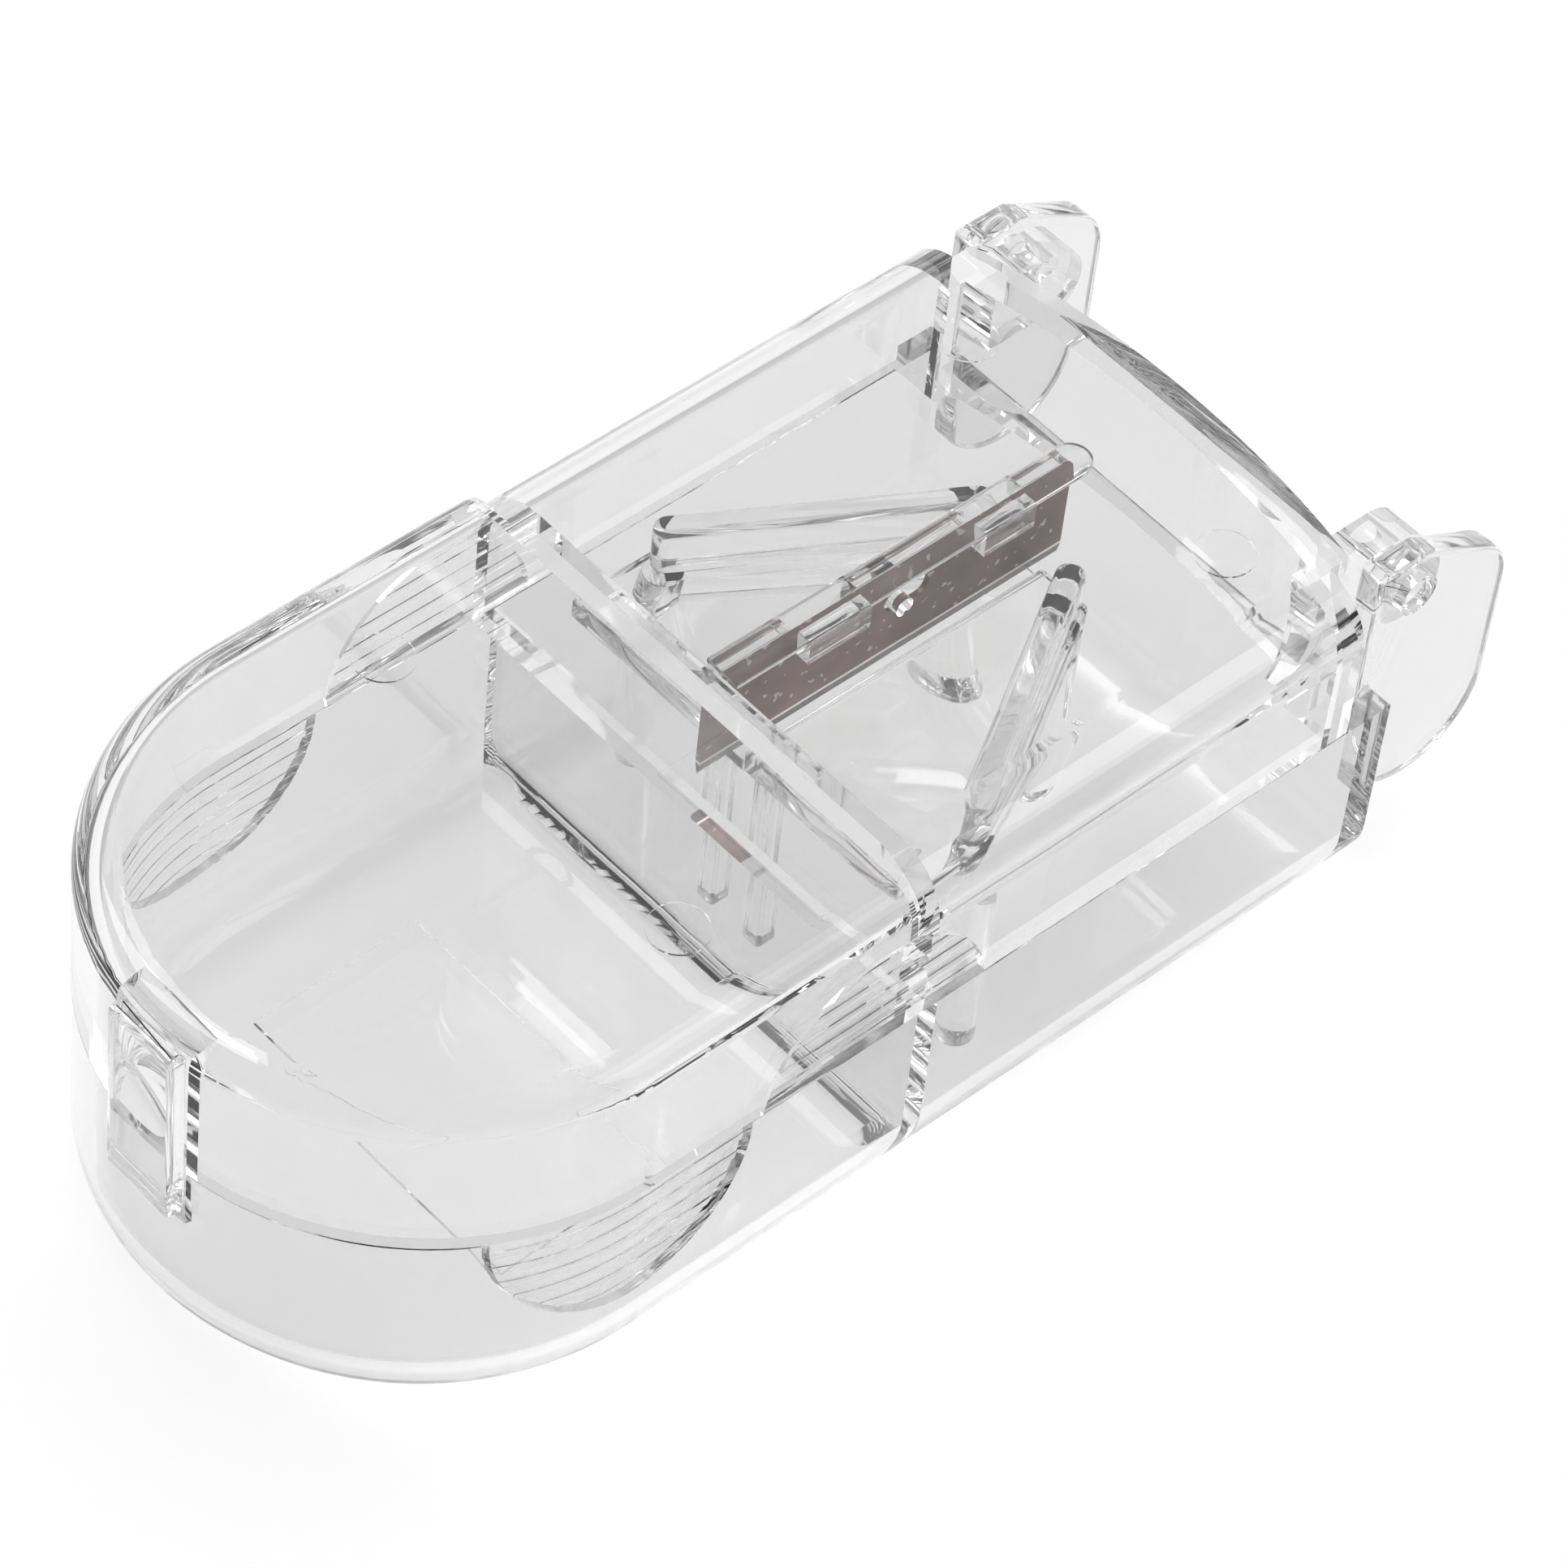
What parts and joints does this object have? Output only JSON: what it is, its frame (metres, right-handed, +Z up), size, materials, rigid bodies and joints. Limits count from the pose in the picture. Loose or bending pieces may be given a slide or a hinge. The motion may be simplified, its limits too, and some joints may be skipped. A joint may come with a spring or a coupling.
{
  "type": "pill splitter",
  "caption": "Clear plastic pill splitter: hinged case with a round storage bin, a V-shaped pill seat and a steel blade under the lid.",
  "frame": {"origin": "centre of the flat base, below the middle of the whole length from the latch face to the rear of the hinge ears", "axes": "+Y from the round nose to the hinge, +X to the right when looking from the nose to the hinge, +Z up"},
  "size_m": [0.042, 0.0948, 0.0285],
  "materials": {
    "clear_case": "polished clear moulded plastic",
    "clear_lid": "polished clear moulded plastic",
    "clear_cradle": "clear moulded plastic",
    "clear_holder": "clear moulded plastic",
    "clear_latch": "clear moulded plastic",
    "blade_steel": "ground steel strip with a brighter bevel"
  },
  "bodies": {
    "case": {"body_shell": "clear_case", "hinge_ear_left": "clear_case", "hinge_ear_right": "clear_case", "pill_table": "clear_cradle", "fence_left": "clear_cradle", "fence_right": "clear_cradle"},
    "lid": {"lid_shell": "clear_lid", "hinge_pin_left": "clear_lid", "hinge_pin_right": "clear_lid", "blade_holder": "clear_holder", "blade_peg": "clear_holder", "blade": "blade_steel"},
    "latch": {"latch_tab": "clear_latch"}
  },
  "joints": [
    {"name": "lid_hinge", "type": "hinge", "parent": "case", "child": "lid", "pos_m": [0, 0.0388, 0.0239], "axis": [-1, 0, 0], "range_deg": [0, 110]},
    {"name": "latch_flex", "type": "hinge", "parent": "lid", "child": "latch", "pos_m": [0, -0.0467, 0.0263], "axis": [-1, 0, 0], "range_deg": [0, 8], "stiffness_Nm_per_rad": 0.5}
  ]
}
